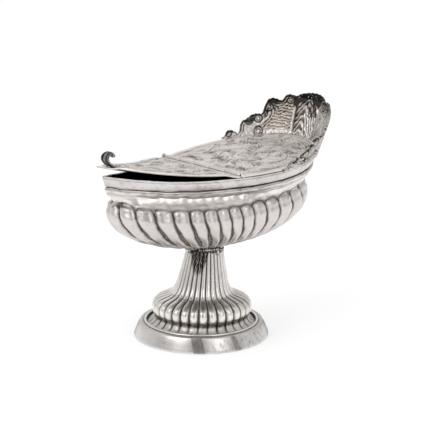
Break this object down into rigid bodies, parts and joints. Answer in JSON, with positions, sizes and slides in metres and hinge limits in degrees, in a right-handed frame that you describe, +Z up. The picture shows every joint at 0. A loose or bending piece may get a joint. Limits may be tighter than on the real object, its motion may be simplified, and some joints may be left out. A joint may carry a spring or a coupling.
{
  "type": "incense boat",
  "caption": "Footed silver incense boat with a chased boat-shaped hull, hinged half lid with a thumb scroll, fixed stern deck and scrolled crest.",
  "frame": {"origin": "on the surface it stands on, under the middle of its overall length and width", "axes": "+Z up; +X from the pointed bow to the stern; +Y to the far side of the picture"},
  "size_m": [0.1902, 0.0962, 0.1513],
  "materials": {
    "silver_polished": "polished old silver",
    "silver_chased": "chased silver with dark valleys",
    "silver_aged": "tarnished silver",
    "solder": "dull grey solder"
  },
  "bodies": {
    "boat": {"base_band": "silver_polished", "rim_moulding": "silver_polished", "rim_band": "silver_polished", "pin_ball_near": "silver_polished", "pin_ball_far": "silver_polished", "foot_dome": "silver_chased", "trumpet_stem": "silver_chased", "hull_bowl": "silver_chased", "deck_plate": "silver_chased", "crest_transom": "silver_chased", "crest_wing_far": "silver_chased", "crest_wing_near": "silver_chased", "base_wire": "silver_aged", "deck_knuckle_near": "silver_aged", "deck_knuckle_middle": "silver_aged", "deck_knuckle_far": "silver_aged", "hinge_pin": "silver_aged", "crest_roll": "silver_aged", "solder_joint": "solder"},
    "lid": {"lid_plate": "silver_chased", "lid_knuckle_near": "silver_aged", "lid_knuckle_far": "silver_aged", "thumb_scroll": "silver_aged", "thumb_rivet_1": "silver_aged", "thumb_rivet_2": "silver_aged", "thumb_rivet_3": "silver_aged"}
  },
  "joints": [
    {"name": "lid_hinge", "type": "hinge", "parent": "boat", "child": "lid", "pos_m": [-0.00835, 0.00178, 0.11486], "axis": [0, 1, 0], "range_deg": [-3.2, 105]}
  ]
}
